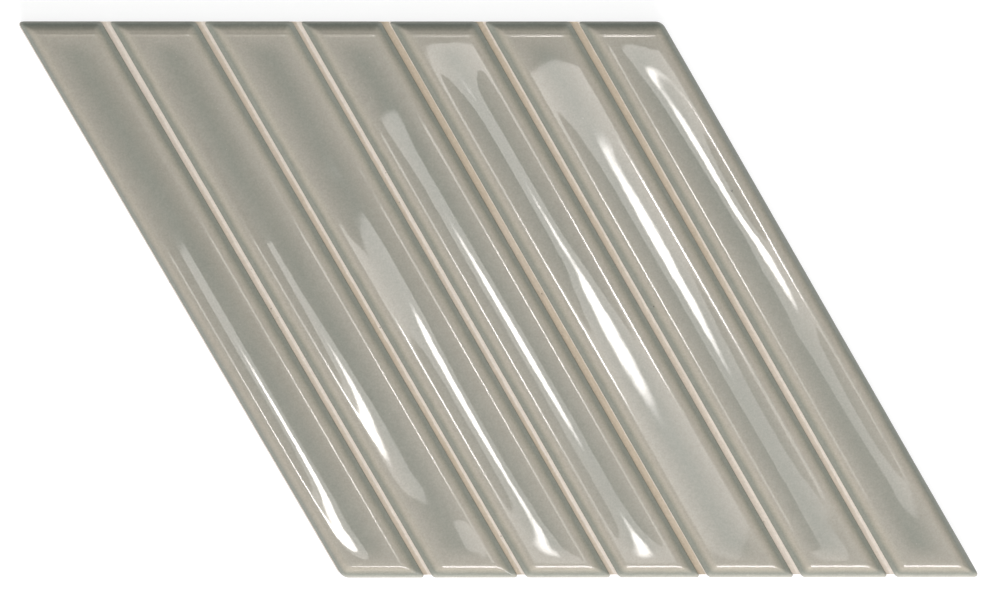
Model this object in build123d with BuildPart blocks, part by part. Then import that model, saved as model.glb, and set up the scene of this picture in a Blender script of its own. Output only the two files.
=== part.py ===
"""Glazed rhombus wall tile whose face is a row of parallel raised bars, pressed and fired as one piece.

Millimetres. The tile lies on its back: the bedding plane is Z = 0 and the glazed face looks up.
The origin is the middle of the bedding plane. Two edges of the rhombus run along X, and the bars
run parallel to the other two, from the far left to the near right.
"""

from build123d import *
from math import atan2, cos, radians, sin, tan
import os

# Rhombus outline, measured over the glazed rim
edge_length = 152.0
lean_angle = 30.0
obtuse_corner_radius = 2.5
acute_corner_radius = 0.9

# Section, from the bedding plane up
plate_thickness = 5.9
bar_rise = 2.6
rim_overhang = 0.2
rim_drop = 0.8
back_arris = 0.8

# Bars: the widths are square to the edge that they belong to
bar_count = 7
bevel_width = 2.4
glaze_lip = 0.35
shoulder_radius = 2.5
bar_corner_radius = 0.6

# Shallow tray in the top of each bar, where the glaze pools, inside a narrow level crest
tray_depth = 0.3
tray_end_run = 6.0
crest_land = 0.2

# Score lines of bare clay between the bars
score_width = 1.65
score_sag = 0.35

# Keying grooves that hold the adhesive, sunk into the back inside a plain border
key_border = 9.0
key_groove_width = 3.2
key_land_width = 4.0
key_depth = 0.6
key_corner_radius = 0.8

# How far cutting and trimming shapes rise above the bars that they work on
run_past = 5.0

# Sizes that follow from the ones above
lean = radians(lean_angle)
face_height = edge_length * cos(lean)
bar_width = (face_height - (bar_count - 1) * score_width) / bar_count
bar_pitch = bar_width + score_width
bar_base_z = plate_thickness - rim_drop
lip_z = plate_thickness + glaze_lip
crest_z = plate_thickness + bar_rise
bevel_angle = atan2(crest_z - lip_z, bevel_width)
tray_inset = bevel_width + shoulder_radius * tan(bevel_angle / 2) + crest_land
tray_width = bar_width - 2 * tray_inset
tray_length = face_height - 2 * tray_inset
end_run_share = tray_end_run / tray_length
tray_end_sag = tray_depth / (4 * end_run_share * (1 - end_run_share))
plate_height = face_height - 2 * rim_overhang
key_run = (plate_height - 2 * key_border) / cos(lean)
key_pitch = key_groove_width + key_land_width
key_count = int((plate_height - 2 * key_border + key_land_width) / key_pitch)
reach = edge_length

# Looking along the bars, with local X square to them, and looking along X, with local X along Y
across_bars = Plane(
    origin=(0, 0, 0),
    x_dir=(cos(lean), sin(lean), 0),
    z_dir=(sin(lean), -cos(lean), 0),
)
along_y = Plane.YZ


def leaning_block(middle_x, middle_y, width, height):
    """Corners of a parallelogram with level ends and sides along the bars, from the near left one,
    anticlockwise. The width is along X."""
    shift = height / 2 * tan(lean)
    middle_x = middle_x - middle_y * tan(lean)
    return [
        (middle_x + shift - width / 2, middle_y - height / 2),
        (middle_x + shift + width / 2, middle_y - height / 2),
        (middle_x - shift + width / 2, middle_y + height / 2),
        (middle_x - shift - width / 2, middle_y + height / 2),
    ]


def bevelled_section(width):
    """Section of one bar or of the whole face: upright lip, bevel, rolled shoulder and level top."""
    with BuildSketch() as section:
        with BuildLine():
            Polyline(
                (-width / 2, bar_base_z),
                (width / 2, bar_base_z),
                (width / 2, lip_z),
                (width / 2 - bevel_width, crest_z),
                (-width / 2 + bevel_width, crest_z),
                (-width / 2, lip_z),
                close=True,
            )
        make_face()
        fillet(section.vertices().group_by(Axis.Y)[-1], shoulder_radius)
    return section.sketch


def sagging_section(width, top_z, sag):
    """Section of what an arc hollows out between two points at top_z, carried up past the bars."""
    with BuildSketch() as section:
        with BuildLine():
            SagittaArc((-width / 2, top_z), (width / 2, top_z), -sag)
            Polyline(
                (width / 2, top_z),
                (width / 2, crest_z + run_past),
                (-width / 2, crest_z + run_past),
                (-width / 2, top_z),
            )
        make_face()
    return section.sketch


bar_section = bevelled_section(bar_width)
face_section = bevelled_section(face_height)
tray_section = sagging_section(tray_width, crest_z, tray_depth)
tray_end_section = sagging_section(tray_length, crest_z, tray_end_sag)
score_section = sagging_section(score_width, plate_thickness, score_sag)

# Raised bars: a section run along the bars and a section run along X meet in mitres at the ends,
# and the plan rounds the corners
with BuildPart() as bars:
    with BuildSketch(across_bars):
        with GridLocations(bar_pitch, 0, bar_count, 1):
            add(bar_section)
    extrude(amount=reach, both=True)
    with BuildSketch(along_y):
        add(face_section)
    extrude(amount=reach, both=True, mode=Mode.INTERSECT)
    with BuildSketch(Plane.XY.offset(bar_base_z)):
        for bar in range(bar_count):
            middle = (bar - (bar_count - 1) / 2) * bar_pitch / cos(lean)
            first = bar == 0
            last = bar == bar_count - 1
            with BuildLine():
                FilletPolyline(
                    *leaning_block(middle, 0, bar_width / cos(lean), face_height),
                    radius=[
                        obtuse_corner_radius if first else bar_corner_radius,
                        acute_corner_radius if last else bar_corner_radius,
                        obtuse_corner_radius if last else bar_corner_radius,
                        acute_corner_radius if first else bar_corner_radius,
                    ],
                    close=True,
                )
            make_face()
    extrude(amount=crest_z - bar_base_z + run_past, mode=Mode.INTERSECT)

# Trays: an arc across each bar, and a long arc along Y that lifts both ends up to the crest
with BuildPart() as trays:
    with BuildSketch(across_bars):
        with GridLocations(bar_pitch, 0, bar_count, 1):
            add(tray_section)
    extrude(amount=reach, both=True)
    with BuildSketch(along_y):
        add(tray_end_section)
    extrude(amount=reach, both=True, mode=Mode.INTERSECT)

with BuildPart() as tile:
    # Plate, with its lower arris broken, standing in from the glazed rim all round
    with BuildSketch():
        with BuildLine():
            FilletPolyline(
                *leaning_block(0, 0, plate_height / cos(lean), plate_height),
                radius=[
                    obtuse_corner_radius,
                    acute_corner_radius,
                    obtuse_corner_radius,
                    acute_corner_radius,
                ],
                close=True,
            )
        make_face()
    extrude(amount=plate_thickness)
    chamfer(tile.edges().group_by(Axis.Z)[0], back_arris)

    # Score lines, run out through both ends
    with BuildSketch(across_bars):
        with GridLocations(bar_pitch, 0, bar_count - 1, 1):
            add(score_section)
    extrude(amount=reach, both=True, mode=Mode.SUBTRACT)

    # Keying grooves
    with BuildSketch():
        for groove in range(key_count):
            with BuildLine():
                FilletPolyline(
                    *leaning_block(0, (groove - (key_count - 1) / 2) * key_pitch, key_run, key_groove_width),
                    radius=key_corner_radius,
                    close=True,
                )
            make_face()
    extrude(amount=key_depth, mode=Mode.SUBTRACT)

    # Glazed bars on top, with their trays hollowed out
    add(bars.part)
    add(trays.part, mode=Mode.SUBTRACT)

tile.part.label = "tile"
os.makedirs("parts", exist_ok=True)
export_step(tile.part, "parts/tile.step")
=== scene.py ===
"""Glazed rhombus wall tile: seven bevelled bars fused to a plate of bare clay, lying face up."""

from math import cos, pi, radians, sin, tan

import bmesh
import bpy
import numpy as np
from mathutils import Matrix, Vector


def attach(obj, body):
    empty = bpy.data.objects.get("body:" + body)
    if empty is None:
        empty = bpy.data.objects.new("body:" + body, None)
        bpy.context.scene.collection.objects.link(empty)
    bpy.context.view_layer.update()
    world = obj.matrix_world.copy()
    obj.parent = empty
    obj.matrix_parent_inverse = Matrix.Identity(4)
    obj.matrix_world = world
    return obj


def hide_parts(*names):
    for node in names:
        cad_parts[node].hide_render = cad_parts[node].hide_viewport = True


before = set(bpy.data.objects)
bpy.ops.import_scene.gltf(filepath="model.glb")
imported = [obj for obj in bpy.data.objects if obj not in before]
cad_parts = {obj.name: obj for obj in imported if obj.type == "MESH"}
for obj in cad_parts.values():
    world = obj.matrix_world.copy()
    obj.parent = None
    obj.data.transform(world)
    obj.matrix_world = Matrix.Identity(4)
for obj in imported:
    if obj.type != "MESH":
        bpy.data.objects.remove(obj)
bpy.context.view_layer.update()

MM = 0.001

# Tile sizes, in metres. The bars lean, and their widths are square to their length.
EDGE = 152 * MM
LEAN = radians(30)
FACE_HEIGHT = EDGE * cos(LEAN)
PLATE_TOP = 5.9 * MM
RIM_OVERHANG = 0.2 * MM
BACK_ARRIS = 0.8 * MM
BAR_COUNT = 7
SCORE_WIDTH = 1.65 * MM
SCORE_SAG = 0.35 * MM
BAR_WIDTH = (FACE_HEIGHT - (BAR_COUNT - 1) * SCORE_WIDTH) / BAR_COUNT
BAR_PITCH = BAR_WIDTH + SCORE_WIDTH

# Keying grooves in the back. The draft is how far each side of a groove slopes.
KEY_COUNT = 16
KEY_BORDER = 9 * MM
KEY_WIDTH = 3.2 * MM
KEY_PITCH = 7.2 * MM
KEY_DEPTH = 0.6 * MM
KEY_DRAFT = 0.3 * MM

# Length that a rounded corner takes off each edge: the bars' sharp and blunt corners, and the
# tile's own four
BAR_SHARP_CUT = 1.0 * MM
BAR_BLUNT_CUT = 0.7 * MM
TILE_CUT = 1.5 * MM

# Bare clay: how far the glaze stays back from the left edge of the first bar, how far the clay
# stands out along that edge of the tile and between the bars at their far ends, and how far it is
# worn back between them at their near ends
LEFT_BARE = 0.3 * MM
LEFT_STAND = 0.2 * MM
FAR_STAND = 0.2 * MM
NEAR_WEAR = 0.2 * MM

# Tray in the top of each bar, from the left. First its far end and its near end: how many mm it
# takes to rise to the crest there, and how square it is across. Then places from its far end to
# its near end: the share of the way along, how deep the glaze sank in mm, how much deeper it sank
# to the right, and how far the whole top sank.
TRAYS = (
    ((10, 0.3), (8, 0.2), (
        (0, 0.20, 0, 0.16), (0.2, 0.36, 0, 0.15), (0.35, 0.44, 0, 0.10), (0.5, 0.45, 0, 0),
        (0.7, 0.45, 0, 0), (0.8, 0.40, 0.02, 0), (0.87, 0.30, 0.05, 0), (0.93, 0.25, 0.05, 0),
        (1, 0.20, 0.05, 0),
    )),
    ((10, 0.3), (3, 0.3), (
        (0, 0.20, -0.06, 0.42), (0.2, 0.30, -0.22, 0.40), (0.3, 0.33, -0.25, 0.36),
        (0.36, 0.33, -0.26, 0.27), (0.40, 0.32, -0.26, 0.19), (0.47, 0.30, -0.22, 0.12),
        (0.56, 0.29, -0.09, 0.05), (0.65, 0.25, -0.02, 0), (0.74, 0.16, 0.02, 0),
        (0.8, 0.13, 0.03, 0), (0.84, 0.10, 0.055, 0.02), (0.87, 0.05, 0.035, 0.06),
        (0.89, -0.01, 0, 0.11), (0.91, -0.08, -0.04, 0.16), (0.94, -0.12, -0.04, 0.19),
        (1, -0.14, -0.02, 0.20),
    )),
    ((10, 0.3), (9, 1), (
        (0, 0.10, 0.02, 0.84), (0.1, 0.15, 0.08, 0.82), (0.2, 0.22, 0.08, 0.76),
        (0.27, 0.26, 0.08, 0.66), (0.31, 0.27, 0.08, 0.57), (0.36, 0.27, 0.09, 0.43),
        (0.41, 0.27, 0.14, 0.30), (0.48, 0.27, 0.13, 0.17), (0.54, 0.28, 0.12, 0.07),
        (0.6, 0.31, 0.09, 0.03), (0.66, 0.33, 0.06, 0), (0.76, 0.33, 0.05, 0),
        (0.84, 0.31, 0.06, 0), (0.89, 0.25, 0.08, 0), (0.93, 0.19, 0.07, 0), (1, 0.17, 0.05, 0),
    )),
    ((12, 0.3), (8, 1), (
        (0, 0.06, -0.04, 0.22), (0.1, 0.10, -0.04, 0.17), (0.17, 0.14, -0.04, 0.10),
        (0.22, 0.19, -0.06, 0.05), (0.3, 0.26, -0.06, 0), (0.5, 0.265, -0.02, 0),
        (0.7, 0.265, 0.02, 0.05), (0.84, 0.265, 0.01, 0.10), (0.88, 0.25, 0, 0.10),
        (0.92, 0.18, 0, 0.07), (0.96, 0.11, 0, 0.03), (1, 0.06, 0, 0),
    )),
    ((8, 1), (8, 0.6), (
        (0, 0, 0, 0.03), (0.03, 0, 0, 0), (0.045, 0.01, 0, 0), (0.075, 0.07, 0, 0.012),
        (0.11, 0.19, 0, 0.02), (0.15, 0.31, 0, 0.025), (0.2, 0.36, 0, 0.03), (0.3, 0.36, 0, 0.03),
        (0.4, 0.30, 0, 0.025), (0.47, 0.19, 0, 0), (0.55, 0.13, 0, 0), (0.65, 0.105, 0, 0.012),
        (0.75, 0.085, 0, 0.045), (0.85, 0.06, -0.01, 0.06), (0.93, 0.03, -0.03, 0.06),
        (1, 0.01, -0.04, 0.06),
    )),
    ((6, 1), (8, 1), (
        (0, -0.12, 0, 0.54), (0.05, -0.02, 0, 0.41), (0.08, 0.02, 0, 0.33),
        (0.12, 0.035, 0, 0.275), (0.16, 0.055, -0.01, 0.24), (0.2, 0.10, -0.02, 0.205),
        (0.25, 0.145, -0.03, 0.18), (0.3, 0.165, -0.033, 0.165), (0.38, 0.175, -0.03, 0.16),
        (0.5, 0.205, -0.025, 0.16), (0.6, 0.235, -0.045, 0.16), (0.7, 0.265, -0.065, 0.15),
        (0.8, 0.255, -0.06, 0.12), (0.87, 0.19, -0.035, 0.09), (0.92, 0.14, -0.02, 0.06),
        (0.96, 0.10, 0, 0.03), (1, 0.07, 0, 0),
    )),
    ((10, 1), (8, 0.5), (
        (0, 0, 0, 0.20), (0.03, 0.01, -0.01, 0.12), (0.05, 0.04, -0.03, 0.07),
        (0.08, 0.10, -0.09, 0.04), (0.12, 0.19, -0.13, 0.02), (0.16, 0.23, -0.09, 0),
        (0.2, 0.25, -0.05, 0), (0.25, 0.28, -0.025, 0), (0.3, 0.30, -0.01, 0), (0.36, 0.28, 0, 0),
        (0.42, 0.185, 0.005, 0), (0.5, 0.155, 0.02, 0.02), (0.55, 0.18, 0.03, 0.05),
        (0.6, 0.27, 0.045, 0.08), (0.7, 0.34, 0.055, 0.14), (0.77, 0.31, 0.07, 0.16),
        (0.81, 0.24, 0.05, 0.14), (0.84, 0.16, 0.01, 0.11), (0.87, 0.09, 0, 0.08),
        (0.92, 0.02, 0, 0.03), (1, 0, 0, 0),
    )),
)

# How far each score line strays to the right at its far end and its near end, in mm
SCORE_STRAYS = ((-0.2, -0.2), (0.05, 0.05), (0.8, 0.15), (-0.3, -0.65), (0.2, -0.25), (0.3, 0.1))

# Tan band on the left part of each score line, at its far end and its near end: how strong it is,
# and how far it reaches across, from -1 at the left edge to 1 at the right
SCORE_TAN_BANDS = (
    ((0.3, 0.0), (0.8, 0.1)),
    ((0.7, 0.2), (0.9, 0.2)),
    ((0.7, -0.1), (0.9, 0.0)),
    ((1.0, 0.8), (0.95, 0.75)),
    ((1.0, 0.5), (0.3, 0.3)),
    ((1.0, 0.85), (0.45, 0.0)),
)

# Where the blank of a bar has its lines: pairs of the share of them, counted from the edge
# inwards, and the share of the half size that they take up. Columns crowd at the lip and at the
# crest, where the section turns, and rows crowd at both ends.
COLUMN_CROWDING = ((0.1, 0.04), (0.2, 0.184), (0.35, 0.33), (0.65, 0.5))
ROW_CROWDING = ((0.12, 0.02), (0.36, 0.06), (0.5, 0.24))

# Colours of the glaze: where it lies thin, from the bar's edge inwards at shares of the reach, and
# where it pools in the tray. Then its dots.
GLAZE_REACH = 4 * MM
THIN_GLAZE = (
    (0.0, (0.49, 0.475, 0.41)),
    (0.1, (0.45, 0.44, 0.38)),
    (0.19, (0.262, 0.283, 0.247)),
    (0.32, (0.36, 0.348, 0.288)),
    (0.46, (0.455, 0.42, 0.345)),
    (0.6, (0.47, 0.432, 0.36)),
    (0.74, (0.40, 0.37, 0.31)),
    (0.95, (0.362, 0.337, 0.282)),
)
POOLED_GLAZE = (0.248, 0.252, 0.210)
GLAZE_BUBBLE = (0.62, 0.59, 0.52)
GLAZE_PINHOLE = (0.05, 0.045, 0.04)

# Colours of the clay: plain, the tan on the left part of the score lines, and its pits
CLAY = (0.70, 0.635, 0.56)
TAN_CLAY = (0.51, 0.43, 0.325)
CLAY_PIT = (0.16, 0.12, 0.09)

# Faces that meet at a sharper turn than this keep a hard edge between them
SHARP_TURN = radians(35)


def slanted(size):
    """How far a size square to one pair of the tile's edges reaches along the other pair."""
    return size / cos(LEAN)


def spread_out(count, pitch):
    """Places along an edge, about its middle, of things that lie this far apart square to the
    edges beside it."""
    return [slanted((index - (count - 1) / 2) * pitch) for index in range(count)]


def leaning(across, along):
    """X and Y of a point given by its distance along X from the tile's own middle line and its
    distance along the bars from the middle, positive to the far end."""
    return across - along * sin(LEAN), along * cos(LEAN)


def between(far_and_near, from_far):
    """A value the given share of the way from its far one to its near one."""
    far, near = far_and_near
    return far + (near - far) * from_far


# Nodes

def add_node(tree, kind, links=None, **settings):
    """A new node, with its settings made and its inputs given a value or linked to a socket."""
    node = tree.nodes.new(kind)
    for name, value in settings.items():
        setattr(node, name, value)
    for name, value in (links or {}).items():
        if isinstance(value, bpy.types.NodeSocket):
            tree.links.new(value, node.inputs[name])
        else:
            node.inputs[name].default_value = value
    return node


def calc(tree, operation, *values, clamped=False):
    """Output of a Math node on these numbers or sockets."""
    return add_node(
        tree, "ShaderNodeMath", dict(enumerate(values)), operation=operation, use_clamp=clamped
    ).outputs[0]


def squared(tree, value):
    """The value times itself."""
    return calc(tree, "MULTIPLY", value, value)


def summed(tree, start, layers):
    """The start, and each layer's first value times its second one."""
    total = start
    for value, amount in layers:
        total = calc(tree, "MULTIPLY_ADD", value, amount, total)
    return total


def share_of(tree, value, start, end, most=1.0, smooth=False):
    """0 where the value is at start and the most where it is at end, and held there beyond them."""
    return add_node(tree, "ShaderNodeMapRange", {
        "Value": value, "From Min": start, "From Max": end, "To Max": most,
    }, interpolation_type="SMOOTHSTEP" if smooth else "LINEAR").outputs["Result"]


def mixed(tree, share, first, second):
    """A number mixed from two numbers or sockets."""
    return add_node(
        tree, "ShaderNodeMix", {"Factor": share, "A": first, "B": second}, data_type="FLOAT"
    ).outputs["Result"]


def vector_calc(tree, operation, *values):
    """Outputs of a Vector Math node on these vectors or sockets."""
    return add_node(
        tree, "ShaderNodeVectorMath", dict(enumerate(values)), operation=operation
    ).outputs


def join_xyz(tree, x, y, z):
    """A vector from three numbers or sockets."""
    return add_node(tree, "ShaderNodeCombineXYZ", {"X": x, "Y": y, "Z": z}).outputs["Vector"]


def split_xyz(tree, vector):
    """The X, Y and Z of a vector, by those names."""
    return add_node(tree, "ShaderNodeSeparateXYZ", {"Vector": vector}).outputs


def new_tree(name, kind, inputs, outputs):
    """An empty node tree with the named sockets, as (name, socket type, default or None)."""
    tree = bpy.data.node_groups.new(name, kind)
    for side, sockets in (("INPUT", inputs), ("OUTPUT", outputs)):
        for label, socket_type, value in sockets:
            socket = tree.interface.new_socket(name=label, in_out=side, socket_type=socket_type)
            if value is not None:
                socket.default_value = value
    return tree


# Raised bars

def bar_centre_lines():
    """A line down the middle of each bar, from its far end to its near end, whose points carry how
    the bar's top and corners turn out there."""
    points, edges, traits = [], [], []
    strays = ((0, 0), *SCORE_STRAYS, (0, 0))
    for bar, across in enumerate(spread_out(BAR_COUNT, BAR_PITCH)):
        far_end, near_end, stations = TRAYS[bar]
        is_first, is_last = bar == 0, bar == BAR_COUNT - 1
        for station, (share, depth, lean, sink) in enumerate(stations):
            if station:
                edges.append((len(points) - 1, len(points)))
            points.append((*leaning(across, (0.5 - share) * EDGE), PLATE_TOP))
            if share < 0.5:
                end_run, end_square = far_end
                left_cut, right_cut = BAR_SHARP_CUT, BAR_BLUNT_CUT
            else:
                end_run, end_square = near_end
                left_cut, right_cut = BAR_BLUNT_CUT, BAR_SHARP_CUT
            traits.append({
                "tray_depth": depth * MM,
                "tray_lean": lean * MM,
                "top_sink": sink * MM,
                "end_run": end_run * MM,
                "end_square": end_square,
                "left_stray": between(strays[bar], share) * MM,
                "right_stray": between(strays[bar + 1], share) * MM,
                "left_cut": TILE_CUT if is_first else left_cut,
                "right_cut": TILE_CUT if is_last else right_cut,
                "left_bare": LEFT_BARE if is_first else 0,
            })
    mesh = bpy.data.meshes.new("bar_centre_lines")
    mesh.from_pydata(points, edges, [])
    for name in traits[0]:
        values = [point_traits[name] for point_traits in traits]
        mesh.attributes.new(name, "FLOAT", "POINT").data.foreach_set("value", values)
    return mesh


def stored(tree, geometry, name, value, data_type="FLOAT"):
    """The geometry, with the value kept on its points under a name."""
    return add_node(tree, "GeometryNodeStoreNamedAttribute", {
        "Geometry": geometry, "Name": name, "Value": value,
    }, data_type=data_type, domain="POINT").outputs["Geometry"]


def kept(tree, name, data_type="FLOAT"):
    """What the points keep under a name."""
    return add_node(
        tree, "GeometryNodeInputNamedAttribute", {"Name": name}, data_type=data_type
    ).outputs["Attribute"]


def moved(tree, geometry, place, which=True):
    """The geometry, with those of its points put at a place."""
    return add_node(tree, "GeometryNodeSetPosition", {
        "Geometry": geometry, "Selection": which, "Position": place,
    }).outputs["Geometry"]


def point_place(tree):
    """The X, Y and Z of each point."""
    return split_xyz(tree, tree.nodes.new("GeometryNodeInputPosition").outputs[0])


def numbered_blanks(tree, given):
    """One flat blank for each bar, from -1 to 1 both ways, and the number of each point's bar."""
    blank = add_node(tree, "GeometryNodeMeshGrid", {
        "Size X": 2.0, "Size Y": 2.0, "Vertices X": given["Columns"], "Vertices Y": given["Rows"],
    })
    spots = add_node(tree, "GeometryNodeMeshLine", {
        "Count": given["Bar Count"], "Offset": (0, 0, 0)})
    number = tree.nodes.new("GeometryNodeInputIndex").outputs[0]
    blanks = add_node(tree, "GeometryNodeInstanceOnPoints", {
        "Points": stored(tree, spots.outputs["Mesh"], "bar", number, "INT"),
        "Instance": blank.outputs["Mesh"],
    })
    blanks = add_node(tree, "GeometryNodeRealizeInstances", {
        "Geometry": blanks.outputs["Instances"]})
    return blanks.outputs["Geometry"], kept(tree, "bar", "INT")


def crowded(tree, value, crowding):
    """How far in from the blank's edge a point goes, as a share of the half size."""
    inwards = calc(tree, "SUBTRACT", 1, calc(tree, "ABSOLUTE", value))
    spacing = add_node(tree, "ShaderNodeFloatCurve", {"Value": inwards})
    points = spacing.mapping.curves[0].points
    for share_of_lines, share_of_size in crowding:
        points.new(share_of_lines, share_of_size)
    for point in points:
        point.handle_type = "VECTOR"
    spacing.mapping.update()
    return spacing.outputs["Value"]


def bevel_height(tree, given, gap):
    """Height over the plate this far in from the bar's edge: a rounded lip, then the bevel, then
    the shoulder that rolls over into the level top."""
    lip = calc(tree, "SUBTRACT", 1, calc(tree, "DIVIDE", gap, given["Lip Round"], clamped=True))
    lip = calc(tree, "SQRT", calc(tree, "SUBTRACT", 1, squared(tree, lip)))
    lip_rise = calc(tree, "SUBTRACT", given["Lip Height"], given["Wall Height"])
    lip = calc(tree, "ADD", calc(tree, "MULTIPLY", lip, lip_rise), given["Wall Height"])
    bevel = calc(tree, "SMOOTH_MAX", gap, 0, given["Bevel Blend"])
    bevel = calc(tree, "MULTIPLY_ADD", bevel, given["Bevel Slope"], lip)
    return calc(tree, "SMOOTH_MIN", bevel, given["Rise"], given["Shoulder Blend"])


def tray_and_pool(tree, given, across, half_width, end_gap, trait):
    """How deep the tray is here, and how full the glaze pools here, from 0 to 1.

    The tray is an arc across the bar that rises to the crest at both ends. The pool is an arc
    across and one from end to end, however deep the tray turned out."""
    tray_half = calc(tree, "SUBTRACT", half_width, given["Crest Inset"])
    from_crest = calc(tree, "SUBTRACT", end_gap, given["Crest Inset"])

    def rise_to_end(run):
        along_run = calc(tree, "MINIMUM", calc(tree, "DIVIDE", from_crest, run), 1)
        return squared(tree, calc(tree, "SUBTRACT", 1, along_run))

    hollow = calc(tree, "DIVIDE", across, tray_half)
    hollow_square = squared(tree, hollow)
    arc = calc(tree, "SUBTRACT", 1, hollow_square)
    ending = rise_to_end(trait("end_run"))
    squaring = calc(tree, "MULTIPLY", trait("end_square"), calc(tree, "MINIMUM", ending, 1))
    squaring = calc(tree, "MULTIPLY", squaring, calc(tree, "MINIMUM", hollow_square, 1))
    full = calc(tree, "ADD", calc(tree, "SUBTRACT", arc, ending), squaring)
    full = calc(tree, "SMOOTH_MAX", full, 0, given["Crest Round"])
    depth = calc(tree, "MULTIPLY_ADD", trait("tray_lean"), hollow, trait("tray_depth"))

    end_arc = calc(tree, "SUBTRACT", 1, rise_to_end(tray_half))
    pool = calc(tree, "MULTIPLY", calc(tree, "MAXIMUM", arc, 0), calc(tree, "MAXIMUM", end_arc, 0))
    return calc(tree, "MULTIPLY", full, depth), pool


def far_bead(tree, given, end_gap, is_far):
    """Height of the thin bead of glaze that lies across the far end of a bar."""
    bead = calc(tree, "SUBTRACT", end_gap, given["Far Bead Inset"])
    bead = squared(tree, calc(tree, "DIVIDE", bead, given["Far Bead Width"]))
    bead = calc(tree, "EXPONENT", calc(tree, "MULTIPLY", bead, -1))
    return calc(tree, "MULTIPLY", bead, calc(tree, "MULTIPLY", is_far, given["Far Bead"]))


def rounded_plan(tree, cut, level_gap, along_gap):
    """How far in from both edges a point goes, once the blank's corner is pushed in to an arc."""
    into_side, into_end = (
        calc(tree, "SUBTRACT", 1, calc(tree, "DIVIDE", gap, cut, clamped=True))
        for gap in (level_gap, along_gap)
    )

    def pushed_in(gap, into, other_into):
        bend = calc(tree, "MULTIPLY", squared(tree, other_into), 0.5)
        bend = calc(tree, "SUBTRACT", 1, calc(tree, "SQRT", calc(tree, "SUBTRACT", 1, bend)))
        bend = calc(tree, "MULTIPLY", calc(tree, "MULTIPLY", into, bend), cut)
        return calc(tree, "ADD", gap, bend)

    return pushed_in(level_gap, into_side, into_end), pushed_in(along_gap, into_end, into_side)


def closed_below(tree, bars, base):
    """The bars with an upright wall down over the plate's edge, and then a flat bottom that folds
    in to the spots that their points keep on the middle line."""
    faces_met = tree.nodes.new("GeometryNodeInputMeshEdgeNeighbors").outputs["Face Count"]
    rim = add_node(
        tree, "FunctionNodeCompare", {2: faces_met, 3: 1}, data_type="INT", operation="EQUAL"
    ).outputs["Result"]
    here = point_place(tree)
    straight_down = join_xyz(tree, here["X"], here["Y"], base)
    for place_below in (straight_down, kept(tree, "fold_spot", "FLOAT_VECTOR")):
        wall = add_node(tree, "GeometryNodeExtrudeMesh", {
            "Mesh": bars, "Selection": rim, "Offset Scale": 0.0}, mode="EDGES")
        rim = wall.outputs["Top"]
        bars = moved(tree, wall.outputs["Mesh"], place_below, rim)
    bars = add_node(tree, "GeometryNodeRemoveAttribute", {"Geometry": bars, "Name": "fold_spot"})
    return bars.outputs["Geometry"]


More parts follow.
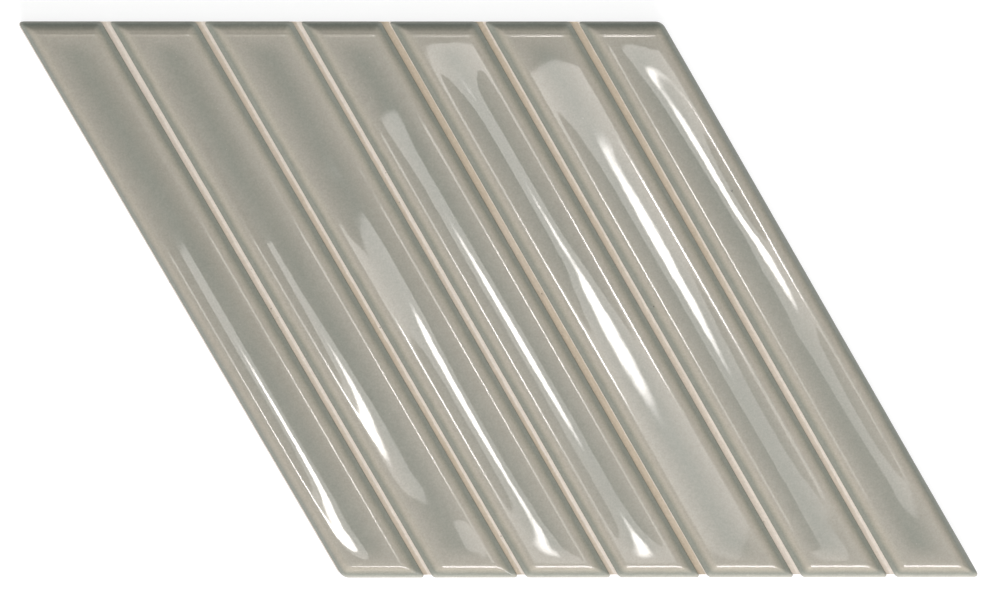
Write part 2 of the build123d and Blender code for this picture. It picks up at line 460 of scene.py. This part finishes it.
def raised_bars_tree():
    """Geometry Nodes tree that raises one glazed bar over each centre line."""
    number, whole = "NodeSocketFloat", "NodeSocketInt"
    tree = new_tree("raised_bars", "GeometryNodeTree", (
        ("Centre Lines", "NodeSocketGeometry", None),
        ("Bar Count", whole, BAR_COUNT),
        ("Bar Width", number, BAR_WIDTH),
        ("Bar Pitch", number, BAR_PITCH),
        ("Bar Length", number, EDGE),
        ("Lean", number, LEAN),
        ("Plate Top", number, PLATE_TOP),
        ("Rim Drop", number, 0.8 * MM),
        ("Rise", number, 2.6 * MM),
        ("Wall Height", number, 0.12 * MM),
        ("Lip Height", number, 0.3 * MM),
        ("Lip Round", number, 0.6 * MM),
        ("Bevel Slope", number, 0.94),
        ("Bevel Blend", number, 0.2 * MM),
        ("Shoulder Blend", number, 1.1 * MM),
        ("Hip Blend", number, 1.2 * MM),
        ("Crest Inset", number, 3.9 * MM),
        ("Crest Round", number, 0.28),
        ("Far Bead", number, 0.06 * MM),
        ("Far Bead Inset", number, 3.15 * MM),
        ("Far Bead Width", number, 0.26 * MM),
        ("Near Reach", number, 0.26 * MM),
        ("Edge Zone", number, 1.5 * MM),
        ("Edge Waver", number, 0.07 * MM),
        ("Wavers Across", number, 3.0),
        ("Wavers Along", number, 160.0),
        ("Waver Step", number, 7.3),
        ("Side Colour Gap", number, 0.75 * MM),
        ("Fold Share", number, 0.95),
        ("Weld", number, 0.002 * MM),
        ("Columns", whole, 61),
        ("Rows", whole, 201),
        ("Line Steps", whole, 24),
        ("Glaze", "NodeSocketMaterial", None),
    ), (("Bars", "NodeSocketGeometry", None),))
    given = tree.nodes.new("NodeGroupInput").outputs
    blanks, bar = numbered_blanks(tree, given)
    place = point_place(tree)

    half_width = calc(tree, "MULTIPLY", given["Bar Width"], 0.5)
    half_length = calc(tree, "MULTIPLY", given["Bar Length"], 0.5)
    cos_lean = calc(tree, "COSINE", given["Lean"])
    sin_lean = calc(tree, "SINE", given["Lean"])
    side = calc(tree, "SIGN", place["X"])
    end = calc(tree, "SIGN", place["Y"])
    is_left = calc(tree, "LESS_THAN", place["X"], 0)
    is_far = calc(tree, "GREATER_THAN", place["Y"], 0)

    # How far each point is from the bar's edges: square to its side, along it, and square to its
    # end
    side_gap = calc(tree, "MULTIPLY", crowded(tree, place["X"], COLUMN_CROWDING), half_width)
    along_gap = calc(tree, "MULTIPLY", crowded(tree, place["Y"], ROW_CROWDING), half_length)
    end_gap = calc(tree, "MULTIPLY", along_gap, cos_lean)
    across = calc(tree, "MULTIPLY", calc(tree, "SUBTRACT", half_width, side_gap), side)
    along = calc(tree, "MULTIPLY", calc(tree, "SUBTRACT", half_length, along_gap), end)
    from_far = calc(tree, "SUBTRACT", half_length, along)
    from_far = calc(tree, "DIVIDE", from_far, given["Bar Length"], clamped=True)

    # What the centre line's points say at this place along the bar
    lines = add_node(tree, "GeometryNodeMeshToCurve", {"Mesh": given["Centre Lines"]})
    lines = add_node(tree, "GeometryNodeCurveSplineType", {
        "Curve": lines.outputs["Curve"]}, spline_type="CATMULL_ROM")
    lines = add_node(tree, "GeometryNodeSetSplineResolution", {
        "Geometry": lines.outputs["Curve"], "Resolution": given["Line Steps"]})

    def trait(name):
        return add_node(tree, "GeometryNodeSampleCurve", {
            "Curves": lines.outputs["Geometry"], "Value": kept(tree, name), "Factor": from_far,
            "Curve Index": bar,
        }, data_type="FLOAT", mode="FACTOR", use_all_curves=False).outputs["Value"]

    # The nearest edge sets the section, so that the ends are mitred. Only the ends have the pale
    # rim of the glaze's colours, so for those a side counts as no nearer than the line inside it.
    def nearest_edge(gap_to_side):
        gap = calc(tree, "SMOOTH_MIN", gap_to_side, end_gap, given["Hip Blend"])
        return calc(tree, "MAXIMUM", gap, 0)

    gap = nearest_edge(side_gap)
    colour_gap = nearest_edge(calc(tree, "MAXIMUM", side_gap, given["Side Colour Gap"]))
    bevel = bevel_height(tree, given, gap)
    tray, pool = tray_and_pool(tree, given, across, half_width, end_gap, trait)
    raised = calc(tree, "SUBTRACT", far_bead(tree, given, end_gap, is_far), trait("top_sink"))
    top_share = calc(tree, "DIVIDE", bevel, given["Rise"], clamped=True)
    height = calc(tree, "SUBTRACT", bevel, tray)
    height = calc(tree, "ADD", height, calc(tree, "MULTIPLY", raised, top_share))
    height = calc(tree, "ADD", height, given["Plate Top"])

    cut = mixed(tree, is_left, trait("right_cut"), trait("left_cut"))
    level_gap = calc(tree, "DIVIDE", side_gap, cos_lean)
    level_gap, along_gap = rounded_plan(tree, cut, level_gap, along_gap)

    # The glaze's edge wavers, leaves a thread of clay bare along the left edge of the tile, and
    # runs out a little at the near ends
    near_edge = calc(tree, "DIVIDE", gap, given["Edge Zone"], clamped=True)
    near_edge = calc(tree, "SUBTRACT", 1, near_edge)
    waver = add_node(tree, "ShaderNodeTexNoise", {
        "Vector": join_xyz(
            tree,
            calc(tree, "MULTIPLY", place["X"], given["Wavers Across"]),
            calc(tree, "MULTIPLY", from_far, given["Wavers Along"]),
            calc(tree, "MULTIPLY", bar, given["Waver Step"]),
        ), "Scale": 1.0, "Detail": 3.0,
    }).outputs["Fac"]
    waver = calc(tree, "MULTIPLY", calc(tree, "SUBTRACT", waver, 0.5), given["Edge Waver"])
    waver = calc(tree, "MULTIPLY", waver, near_edge)
    bare = calc(tree, "MULTIPLY", calc(tree, "MULTIPLY", trait("left_bare"), is_left), near_edge)
    level_gap = calc(tree, "ADD", level_gap, calc(tree, "ADD", waver, bare))
    run_out = calc(tree, "MULTIPLY", calc(tree, "SUBTRACT", 1, is_far), given["Near Reach"])
    run_out = calc(tree, "DIVIDE", calc(tree, "MULTIPLY", run_out, near_edge), cos_lean)
    along_gap = calc(tree, "SUBTRACT", along_gap, run_out)

    # Place in plan, and the spot on the middle line that this row's underside folds in to
    def lean_over(level, along_bar):
        x = calc(tree, "SUBTRACT", level, calc(tree, "MULTIPLY", along_bar, sin_lean))
        return x, calc(tree, "MULTIPLY", along_bar, cos_lean)

    first_bar = calc(tree, "MULTIPLY", calc(tree, "SUBTRACT", given["Bar Count"], 1), 0.5)
    middle = calc(tree, "SUBTRACT", bar, first_bar)
    middle = calc(tree, "MULTIPLY", middle, calc(tree, "DIVIDE", given["Bar Pitch"], cos_lean))
    level_half = calc(tree, "DIVIDE", half_width, cos_lean)
    level = calc(tree, "MULTIPLY", calc(tree, "SUBTRACT", level_half, level_gap), side)
    level = calc(tree, "ADD", level, middle)
    to_right = calc(tree, "MULTIPLY_ADD", place["X"], 0.5, 0.5)
    stray = mixed(tree, to_right, trait("left_stray"), trait("right_stray"))
    level = calc(tree, "ADD", level, stray)
    x, y = lean_over(level, calc(
        tree, "MULTIPLY", calc(tree, "SUBTRACT", half_length, along_gap), end))
    base = calc(tree, "SUBTRACT", given["Plate Top"], given["Rim Drop"])
    under_x, under_y = lean_over(middle, calc(tree, "MULTIPLY", along, given["Fold Share"]))
    fold_spot = join_xyz(tree, under_x, under_y, base)

    bars = stored(tree, blanks, "edge_gap", colour_gap)
    bars = stored(tree, bars, "glaze_pool", pool)
    bars = stored(tree, bars, "fold_spot", fold_spot, "FLOAT_VECTOR")
    bars = moved(tree, bars, join_xyz(tree, x, y, height))
    bars = closed_below(tree, bars, base)
    for kind, links in (
        ("GeometryNodeMergeByDistance", {"Distance": given["Weld"]}),
        ("GeometryNodeSetShadeSmooth", {}),
        ("GeometryNodeRealizeInstances", {}),
        ("GeometryNodeSetMaterial", {"Material": given["Glaze"]}),
    ):
        bars = add_node(tree, kind, {"Geometry": bars, **links}).outputs["Geometry"]
    add_node(tree, "NodeGroupOutput", {"Bars": bars})
    return tree


def made_plain(source, tree, values, name):
    """The mesh that a Geometry Nodes tree makes of a source mesh, as an object with no modifier."""
    maker = bpy.data.objects.new(name + "_maker", source)
    bpy.context.scene.collection.objects.link(maker)
    modifier = maker.modifiers.new("make", "NODES")
    modifier.node_group = tree
    for label, value in values.items():
        socket = tree.interface.items_tree[label]
        modifier[socket.identifier] = value
    evaluated = maker.evaluated_get(bpy.context.evaluated_depsgraph_get())
    mesh = bpy.data.meshes.new_from_object(evaluated)
    mesh.name = name
    bpy.data.objects.remove(maker)
    return placed(mesh)


def placed(mesh):
    """An object of this mesh's name that shows it in the scene."""
    piece = bpy.data.objects.new(mesh.name, mesh)
    bpy.context.scene.collection.objects.link(piece)
    return piece


# Materials

def mottle_group():
    """Shader group: soft patches drawn out along the bars, and fine grain, both from -1 to 1."""
    tree = new_tree("mottle", "ShaderNodeTree", (
        ("Patch Size", "NodeSocketFloat", 6 * MM),
        ("Patch Stretch", "NodeSocketFloat", 2.0),
        ("Grain Size", "NodeSocketFloat", 0.4 * MM),
    ), (("Patches", "NodeSocketFloat", None), ("Grain", "NodeSocketFloat", None)))
    given = tree.nodes.new("NodeGroupInput").outputs
    place = tree.nodes.new("ShaderNodeTexCoord").outputs["Object"]
    along_bars = add_node(
        tree, "ShaderNodeVectorRotate", {"Vector": place, "Angle": -LEAN}, rotation_type="Z_AXIS"
    ).outputs["Vector"]
    stretch = join_xyz(tree, 1.0, calc(tree, "DIVIDE", 1, given["Patch Stretch"]), 1.0)
    drawn_out = vector_calc(tree, "MULTIPLY", along_bars, stretch)["Vector"]
    results = {}
    for label, vector, size, detail in (
        ("Patches", drawn_out, given["Patch Size"], 3.0),
        ("Grain", place, given["Grain Size"], 2.0),
    ):
        noise = add_node(tree, "ShaderNodeTexNoise", {
            "Vector": vector, "Scale": calc(tree, "DIVIDE", 1, size), "Detail": detail,
        }).outputs["Fac"]
        # Noise seldom leaves this range
        results[label] = calc(tree, "MULTIPLY_ADD", share_of(tree, noise, 0.28, 0.72), 2, -1)
    add_node(tree, "NodeGroupOutput", results)
    return tree


def specks_group():
    """Shader group: a mask of small round dots of uneven size, in the given share of the cells."""
    tree = new_tree("specks", "ShaderNodeTree", (
        ("Spacing", "NodeSocketFloat", 4 * MM),
        ("Size", "NodeSocketFloat", 0.2 * MM),
        ("Share", "NodeSocketFloat", 0.5),
    ), (("Specks", "NodeSocketFloat", None),))
    given = tree.nodes.new("NodeGroupInput").outputs
    place = tree.nodes.new("ShaderNodeTexCoord").outputs["Object"]
    cells = add_node(tree, "ShaderNodeTexVoronoi", {
        "Vector": place, "Scale": calc(tree, "DIVIDE", 1, given["Spacing"])}).outputs
    chance = add_node(tree, "ShaderNodeSeparateColor", {"Color": cells["Color"]}).outputs
    reach = calc(tree, "DIVIDE", given["Size"], given["Spacing"])
    reach = calc(tree, "MULTIPLY", reach, calc(tree, "ADD", chance["Green"], 0.5))
    dot = share_of(tree, cells["Distance"], reach, calc(tree, "MULTIPLY", reach, 0.4))
    is_dotted = calc(tree, "LESS_THAN", chance["Red"], given["Share"])
    add_node(tree, "NodeGroupOutput", {"Specks": calc(tree, "MULTIPLY", dot, is_dotted)})
    return tree


mottle = mottle_group()
specks = specks_group()


def mottled(tree, patch, stretch, grain):
    """The patches and the grain of the mottle group, by those names, at these sizes."""
    return add_node(tree, "ShaderNodeGroup", {
        "Patch Size": patch, "Patch Stretch": stretch, "Grain Size": grain,
    }, node_tree=mottle).outputs


def specked(tree, spacing, size, share):
    """The mask of the specks group, at these sizes."""
    return add_node(tree, "ShaderNodeGroup", {
        "Spacing": spacing, "Size": size, "Share": share,
    }, node_tree=specks).outputs["Specks"]


def read_attribute(tree, name):
    """A number that the mesh keeps on its points."""
    return add_node(tree, "ShaderNodeAttribute", attribute_name=name).outputs["Fac"]


def mix_colour(tree, share, first, second, blend="MIX"):
    """Colour mixed from two colours or sockets."""
    node = add_node(tree, "ShaderNodeMix", data_type="RGBA", blend_type=blend, clamp_factor=True)
    share_socket, first_socket, second_socket = (node.inputs[index] for index in (0, 6, 7))
    for socket, value in ((share_socket, share), (first_socket, first), (second_socket, second)):
        if isinstance(value, bpy.types.NodeSocket):
            tree.links.new(value, socket)
        elif isinstance(value, tuple):
            socket.default_value = (*value, 1)
        else:
            socket.default_value = value
    return node.outputs[2]


def dotted(tree, colour, mask, strength, dot_colour):
    """The colour, with dots of another one where the mask is."""
    return mix_colour(tree, calc(tree, "MULTIPLY", mask, strength), colour, dot_colour)


def shaded(tree, colour, layers):
    """The colour, lighter and darker by the layers' first values times their second ones."""
    shade = summed(tree, 1, layers)
    grey = add_node(tree, "ShaderNodeCombineColor", {"Red": shade, "Green": shade, "Blue": shade})
    return mix_colour(tree, 1.0, colour, grey.outputs["Color"], "MULTIPLY")


def thickness_ramp(tree, share, stops):
    """Colour that passes smoothly through the stops, as (share, colour)."""
    node = add_node(tree, "ShaderNodeValToRGB", {"Fac": share})
    ramp = node.color_ramp
    ramp.interpolation = "B_SPLINE"
    first, last = ramp.elements
    first.position, last.position = stops[0][0], stops[-1][0]
    first.color, last.color = (*stops[0][1], 1), (*stops[-1][1], 1)
    for position, colour in stops[1:-1]:
        ramp.elements.new(position).color = (*colour, 1)
    return node.outputs["Color"]


def new_material(name):
    """A material, with its node tree and its shader."""
    material = bpy.data.materials.new(name)
    material.use_nodes = True
    return material, material.node_tree, material.node_tree.nodes["Principled BSDF"]


def finish_shader(tree, shader, colour, rough, relief):
    """Link the colour and the roughness, and bump from layers of a mask and its height."""
    bump = add_node(tree, "ShaderNodeBump", {"Height": summed(tree, 0, relief), "Distance": 1.0})
    tree.links.new(colour, shader.inputs["Base Color"])
    tree.links.new(rough, shader.inputs["Roughness"])
    tree.links.new(bump.outputs["Normal"], shader.inputs["Normal"])


def glaze_material():
    """Stone grey glaze: thin and pale along the ridges, darker where it pools."""
    material, tree, shader = new_material("stone_grey_glaze")
    shader.inputs["IOR"].default_value = 1.5
    cloud = mottled(tree, patch=16 * MM, stretch=2.2, grain=0.45 * MM)
    bloom = mottled(tree, patch=3 * MM, stretch=1.4, grain=1.1 * MM)
    bubbles = specked(tree, spacing=2.4 * MM, size=0.13 * MM, share=0.35)
    pinholes = specked(tree, spacing=9 * MM, size=0.2 * MM, share=0.2)

    # How far from the lip, wavering a little, sets how thin the glaze lies
    gap = summed(tree, read_attribute(tree, "edge_gap"), ((bloom["Patches"], 0.1 * MM),))
    colour = thickness_ramp(tree, calc(tree, "DIVIDE", gap, GLAZE_REACH), THIN_GLAZE)
    depth = summed(tree, 0.88, ((cloud["Patches"], 0.18),))
    fullness = calc(tree, "POWER", read_attribute(tree, "glaze_pool"), 1.4)
    depth = calc(tree, "MULTIPLY", depth, fullness, clamped=True)
    colour = mix_colour(tree, depth, colour, POOLED_GLAZE)
    colour = shaded(tree, colour, (
        (cloud["Grain"], 0.07), (bloom["Grain"], 0.03), (bloom["Patches"], 0.015)))
    colour = dotted(tree, colour, bubbles, 0.3, GLAZE_BUBBLE)
    colour = dotted(tree, colour, pinholes, 0.8, GLAZE_PINHOLE)
    rough = summed(tree, 0.035, ((bloom["Grain"], 0.006), (pinholes, 0.4)))

    # Orange peel, in a long ripple and a short one, and the pinholes
    finish_shader(tree, shader, colour, rough, (
        (cloud["Patches"], 0.008 * MM), (bloom["Patches"], 0.0012 * MM), (pinholes, -0.05 * MM)))
    return material


def clay_material():
    """Bare fired clay: pale and pinkish, and tan on the left part of most score lines."""
    material, tree, shader = new_material("bare_clay")
    cloud = mottled(tree, patch=14 * MM, stretch=3.0, grain=0.3 * MM)
    grit = mottled(tree, patch=1.5 * MM, stretch=1.6, grain=0.8 * MM)
    pits = specked(tree, spacing=1.6 * MM, size=0.16 * MM, share=0.16)

    # The tan has a ragged edge and an uneven strength, and leaves the plate's sides clean
    edge = summed(tree, read_attribute(tree, "score_side"), ((grit["Patches"], 0.12),))
    strength = summed(tree, read_attribute(tree, "score_tan"), ((cloud["Patches"], 0.25),))
    tan_share = calc(tree, "MULTIPLY", share_of(tree, edge, 0.15, -0.15), strength, clamped=True)
    facing = split_xyz(tree, tree.nodes.new("ShaderNodeNewGeometry").outputs["True Normal"])
    tan_share = calc(tree, "MULTIPLY", tan_share, share_of(tree, facing["Z"], 0.3, 0.6))
    colour = mix_colour(tree, tan_share, CLAY, TAN_CLAY)
    colour = shaded(tree, colour, ((cloud["Grain"], 0.05), (grit["Grain"], 0.04)))
    colour = dotted(tree, colour, pits, 0.75, CLAY_PIT)
    rough = summed(tree, 0.85, ((grit["Grain"], 0.05),))
    finish_shader(tree, shader, colour, rough, (
        (cloud["Grain"], 0.02 * MM), (grit["Patches"], 0.03 * MM), (pits, -0.12 * MM)))
    return material


# Clay plate

def stray_of(from_far):
    """How far each score line strays to the right, in metres, at these shares of the way from its
    far end."""
    return between(np.array(SCORE_STRAYS).T * MM, from_far[:, None])


def slab_mesh(name, top, back):
    """Closed mesh between two grids of points, each given as its X, its Y and its Z, with the
    lower edge broken. The sides go down from the top's outline."""
    columns, rows = top[0].shape
    mesh = bmesh.new()
    upper, lower = (
        [[mesh.verts.new((x[i, j], y[i, j], z[i, j])) for j in range(rows)] for i in range(columns)]
        for x, y, z in (top, back)
    )
    for i in range(columns - 1):
        for j in range(rows - 1):
            mesh.faces.new((upper[i][j], upper[i + 1][j], upper[i + 1][j + 1], upper[i][j + 1]))
            mesh.faces.new((lower[i][j], lower[i][j + 1], lower[i + 1][j + 1], lower[i + 1][j]))
    last_i, last_j = columns - 1, rows - 1
    ring = [(i, 0) for i in range(last_i)] + [(last_i, j) for j in range(last_j)]
    ring += [(i, last_j) for i in range(last_i, 0, -1)] + [(0, j) for j in range(last_j, 0, -1)]
    arris = [mesh.verts.new((top[0][spot], top[1][spot], BACK_ARRIS)) for spot in ring]
    for n, (i, j) in enumerate(ring):
        after = (n + 1) % len(ring)
        i2, j2 = ring[after]
        mesh.faces.new((arris[n], arris[after], upper[i2][j2], upper[i][j]))
        mesh.faces.new((lower[i][j], lower[i2][j2], arris[after], arris[n]))
    data = bpy.data.meshes.new(name)
    mesh.to_mesh(data)
    mesh.free()
    return data


def mark_score_lines(data, centres, score):
    """Keep on each point how far it lies to the right of the tan band's edge, in half widths of its
    score line, and how strong the tan is there, with none well away from the lines."""
    points = np.array([vertex.co[:] for vertex in data.vertices])
    from_far = np.clip(0.5 - points[:, 1] / FACE_HEIGHT, 0, 1)
    from_lines = points[:, :1] + points[:, 1:2] * tan(LEAN) - (centres + stray_of(from_far))
    nearest = np.abs(from_lines).argmin(axis=1)
    furthest_kept, furthest_tanned = 3, 1.6
    side = from_lines[np.arange(len(points)), nearest] / score
    side = np.clip(side, -furthest_kept, furthest_kept)
    tan_bands = np.array(SCORE_TAN_BANDS)[nearest]
    strength, reach = between((tan_bands[:, 0], tan_bands[:, 1]), from_far[:, None]).T
    strength = strength * (np.abs(side) < furthest_tanned)
    for name, values in (("score_side", side - reach), ("score_tan", strength)):
        data.attributes.new(name, "FLOAT", "POINT").data.foreach_set("value", values)


def clay_plate(material):
    """Closed plate: score channels in its top, keying grooves in its back, and a broken arris."""
    half = EDGE / 2 - slanted(RIM_OVERHANG)
    score = slanted(SCORE_WIDTH) / 2
    centres = spread_out(BAR_COUNT - 1, BAR_PITCH)
    key_half = half - slanted(KEY_BORDER)
    key_draft = slanted(KEY_DRAFT)
    key_wide = slanted(KEY_WIDTH) / 2
    key_middles = spread_out(KEY_COUNT, KEY_PITCH)

    # Lines that the plate's top and back share, so that one wall joins them
    steps_over_score = np.linspace(-1, 1, 9)
    steps_round_corner = (0.15, 0.35, 0.6, 1)
    rounded = [half - TILE_CUT * share for share in steps_round_corner]
    across = {sign * place for place in (half, key_half, key_half - key_draft) for sign in (-1, 1)}
    across.update(sign * place for place in rounded for sign in (-1, 1))
    across.update(centre + score * share for centre in centres for share in steps_over_score)
    along = {sign * place for place in (half, *rounded) for sign in (-1, 1)}
    for wide in (key_wide, key_wide - key_draft):
        along.update(middle + sign * wide for middle in key_middles for sign in (-1, 1))
    across, along = np.array(sorted(across)), np.array(sorted(along))
    grid_across, grid_along = np.meshgrid(across, along, indexing="ij")

    # Plan: the corners are pushed in to arcs, the score lines stray, and the ends stand or wear
    into_side = np.clip(1 - (half - np.abs(grid_across)) / TILE_CUT, 0, 1)
    into_end = np.clip(1 - (half - np.abs(grid_along)) / TILE_CUT, 0, 1)
    push_side = TILE_CUT * into_side * (1 - np.sqrt(1 - into_end**2 / 2))
    push_end = TILE_CUT * into_end * (1 - np.sqrt(1 - into_side**2 / 2))
    strays = np.array([
        np.interp(across, [-half, *centres, half], [-LEFT_STAND, *stray, 0])
        for stray in stray_of(0.5 - along / EDGE)
    ]).T
    end_shift = into_end * np.where(grid_along < 0, NEAR_WEAR, FAR_STAND)
    flat_x, flat_y = leaning(
        grid_across + strays - np.sign(grid_across) * push_side,
        grid_along - np.sign(grid_along) * push_end + end_shift,
    )

    # Heights: the score channels are arcs, and the keying grooves have level floors
    channel = sum(
        np.clip(1 - ((grid_across - centre) / score) ** 2, 0, None) for centre in centres)
    in_run = np.clip((key_half - np.abs(grid_across)) / key_draft, 0, 1)
    keying = sum(
        np.minimum(in_run, np.clip((key_wide - np.abs(grid_along - middle)) / key_draft, 0, 1))
        for middle in key_middles)
    inset = 1 - BACK_ARRIS / (half * cos(LEAN))
    data = slab_mesh(
        "clay_plate",
        (flat_x, flat_y, PLATE_TOP - SCORE_SAG * channel),
        (flat_x * inset, flat_y * inset, KEY_DEPTH * keying),
    )
    mark_score_lines(data, centres, score)
    data.materials.append(material)
    return placed(data)


bars = made_plain(
    bar_centre_lines(), raised_bars_tree(), {"Glaze": glaze_material()}, "glazed_bars")
plate = clay_plate(clay_material())
for piece in (bars, plate):
    piece.data.shade_smooth()
    piece.data.set_sharp_from_angle(angle=SHARP_TURN)
    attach(piece, "root")
    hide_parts("tile")


# Floor, light and camera

# The floor lies just under the tile. The last value is how bright it looks to the camera.
FLOOR_SIZE = 4
FLOOR_DROP = 0.02 * MM
FLOOR_GREY = (0.25, 0.25, 0.25, 1)
FLOOR_SEEN = 0.85

# Room light, and the dimmer, cooler light at the far side: which way that lies, and how squarely a
# ray points that way where the change begins and where it is complete
ROOM_COLOUR = (0.36, 0.375, 0.358)
DIM_COLOUR = (0.14, 0.18, 0.20)
DIM_DIRECTION = Vector((-0.35, 0.94, 0))
DIM_SPAN = (0.1, 0.85)

# Soft glow on the ceiling: where it lies, how wide it is from its middle, and how bright
GLOW_DIRECTION = Vector((0.16, -0.25, 0.948)).normalized()
GLOW_REACH = radians(30)
GLOW_BRIGHTNESS = 1.2

# Camera over the tile, with its lens in mm
CAMERA_PLACE = Vector((-0.0071, 0.0453, 0.8))
CAMERA_TURN = (radians(-3.262), radians(-0.501), 0)
CAMERA_LENS = 120.9

# The overhead softbox hangs above the camera, and a flat face would mirror its middle at this spot
MIRROR_SPOT = Vector((0.022, 0.0, 0))
OVERHEAD_HEIGHT = 2.0
OVERHEAD_SIZE = (0.305, 0.46)
OVERHEAD_CORNER = 0.035

# Brightness of its middle, how much brighter its far end is than its near end, its tint, and the
# hot ellipse where the bulb shows through: its share of the width and of the length, and how bright
OVERHEAD_BRIGHTNESS = 3.4
OVERHEAD_GROWTH = 2.0
OVERHEAD_COLOUR = (1, 0.95, 0.92)
HOT_SHARE = (0.46, 0.55)
HOT_BRIGHTNESS = 26.0

# The key softbox stands low on the near side, a little to the right
KEY_PLACE = Vector((0.17, -0.70, 0.68)) * 1.6
KEY_SIZE = (0.70, 0.68)
KEY_BRIGHTNESS = 13.0
KEY_COLOUR = (1, 0.965, 1)


def floor_material():
    """Plain floor that takes shadows, and looks near white to the camera and in reflections."""
    material = bpy.data.materials.new("white_table")
    material.use_nodes = True
    tree = material.node_tree
    tree.nodes.clear()
    path = tree.nodes.new("ShaderNodeLightPath").outputs
    seen = calc(tree, "MAXIMUM", path["Is Camera Ray"], path["Is Glossy Ray"])
    seen = calc(tree, "MAXIMUM", seen, path["Is Transmission Ray"])
    diffuse = add_node(tree, "ShaderNodeBsdfDiffuse", {"Color": FLOOR_GREY})
    glow = add_node(tree, "ShaderNodeEmission", {
        "Color": (1, 1, 1, 1), "Strength": calc(tree, "MULTIPLY", seen, FLOOR_SEEN)})
    both = add_node(tree, "ShaderNodeAddShader", {0: diffuse.outputs[0], 1: glow.outputs[0]})
    add_node(tree, "ShaderNodeOutputMaterial", {"Surface": both.outputs[0]})
    return material


def room_world():
    """Room light, dimmer and cooler towards the far side, with a soft glow on the ceiling beyond
    the near side of the tile."""
    world = bpy.data.worlds.new("plain_room")
    world.use_nodes = True
    tree = world.node_tree
    direction = tree.nodes.new("ShaderNodeTexCoord").outputs["Generated"]
    towards_glow = vector_calc(tree, "DOT_PRODUCT", direction, GLOW_DIRECTION)["Value"]
    glow = share_of(tree, towards_glow, cos(GLOW_REACH), 1.0, GLOW_BRIGHTNESS, smooth=True)
    towards_dim = vector_calc(tree, "DOT_PRODUCT", direction, DIM_DIRECTION)["Value"]
    dim = share_of(tree, towards_dim, *DIM_SPAN, smooth=True)
    room = mix_colour(tree, dim, ROOM_COLOUR, DIM_COLOUR)
    total = vector_calc(tree, "ADD", room, join_xyz(tree, glow, glow, glow))["Vector"]
    background = tree.nodes["Background"]
    tree.links.new(total, background.inputs["Color"])
    background.inputs["Strength"].default_value = 1.0
    return world


def softbox(name, size, brightness, place):
    """Area light that faces straight down, its brightness given as what a mirror shows."""
    lamp = bpy.data.lights.new(name, "AREA")
    lamp.shape = "RECTANGLE"
    lamp.size, lamp.size_y = size
    lamp.energy = brightness * pi * size[0] * size[1]
    lamp_object = bpy.data.objects.new(name, lamp)
    lamp_object.location = place
    lamp_object.visible_camera = False
    bpy.context.scene.collection.objects.link(lamp_object)
    return lamp_object


def light_overhead_face(lamp):
    """Make the overhead light round cornered, brighter to its far end, and with a hot spot in its
    middle."""
    lamp.use_nodes = True
    tree = lamp.node_tree
    face = tree.nodes.new("ShaderNodeNewGeometry").outputs["Parametric"]
    place = split_xyz(tree, vector_calc(tree, "SUBTRACT", face, (0.5, 0.5, 0))["Vector"])
    past, hot = [], []
    for axis, size, hot_share in zip("XY", (lamp.size, lamp.size_y), HOT_SHARE):
        spot = calc(tree, "ABSOLUTE", calc(tree, "MULTIPLY", place[axis], size))
        straight = size / 2 - OVERHEAD_CORNER
        past.append(calc(tree, "MAXIMUM", calc(tree, "SUBTRACT", spot, straight), 0))
        hot.append(calc(tree, "MULTIPLY", place[axis], 2 / hot_share))
    past, hot = (
        vector_calc(tree, "LENGTH", join_xyz(tree, x, y, 0))["Value"] for x, y in (past, hot))
    strength = summed(tree, OVERHEAD_BRIGHTNESS, ((place["Y"], OVERHEAD_GROWTH),))
    hot = share_of(tree, hot, 1.0, 0.5, HOT_BRIGHTNESS, smooth=True)
    strength = calc(tree, "ADD", strength, hot)
    inside = calc(tree, "LESS_THAN", past, OVERHEAD_CORNER)
    emission = tree.nodes["Emission"]
    emission.inputs["Color"].default_value = (*OVERHEAD_COLOUR, 1)
    tree.links.new(calc(tree, "MULTIPLY", strength, inside), emission.inputs["Strength"])


scene = bpy.context.scene
scene.view_settings.view_transform = "Standard"
scene.world = room_world()

bpy.ops.mesh.primitive_plane_add(size=FLOOR_SIZE, location=(0, 0, -FLOOR_DROP))
floor = bpy.context.object
floor.name = "floor"
floor.data.materials.append(floor_material())

overhead_place = MIRROR_SPOT + (MIRROR_SPOT - CAMERA_PLACE) * (OVERHEAD_HEIGHT / CAMERA_PLACE.z)
overhead_place.z = OVERHEAD_HEIGHT
overhead = softbox("overhead_softbox", OVERHEAD_SIZE, 1, overhead_place)
overhead.rotation_euler.z = LEAN
light_overhead_face(overhead.data)

key_light = softbox("key_softbox", KEY_SIZE, KEY_BRIGHTNESS, KEY_PLACE)
key_light.rotation_euler = (-KEY_PLACE).to_track_quat("-Z", "Y").to_euler()
key_light.data.color = KEY_COLOUR

camera_data = bpy.data.cameras.new("camera")
camera_data.sensor_width = 36
camera_data.lens = CAMERA_LENS
camera_data.clip_end = 20
camera = bpy.data.objects.new("camera", camera_data)
camera.location = CAMERA_PLACE
camera.rotation_euler = CAMERA_TURN
scene.collection.objects.link(camera)
scene.camera = camera
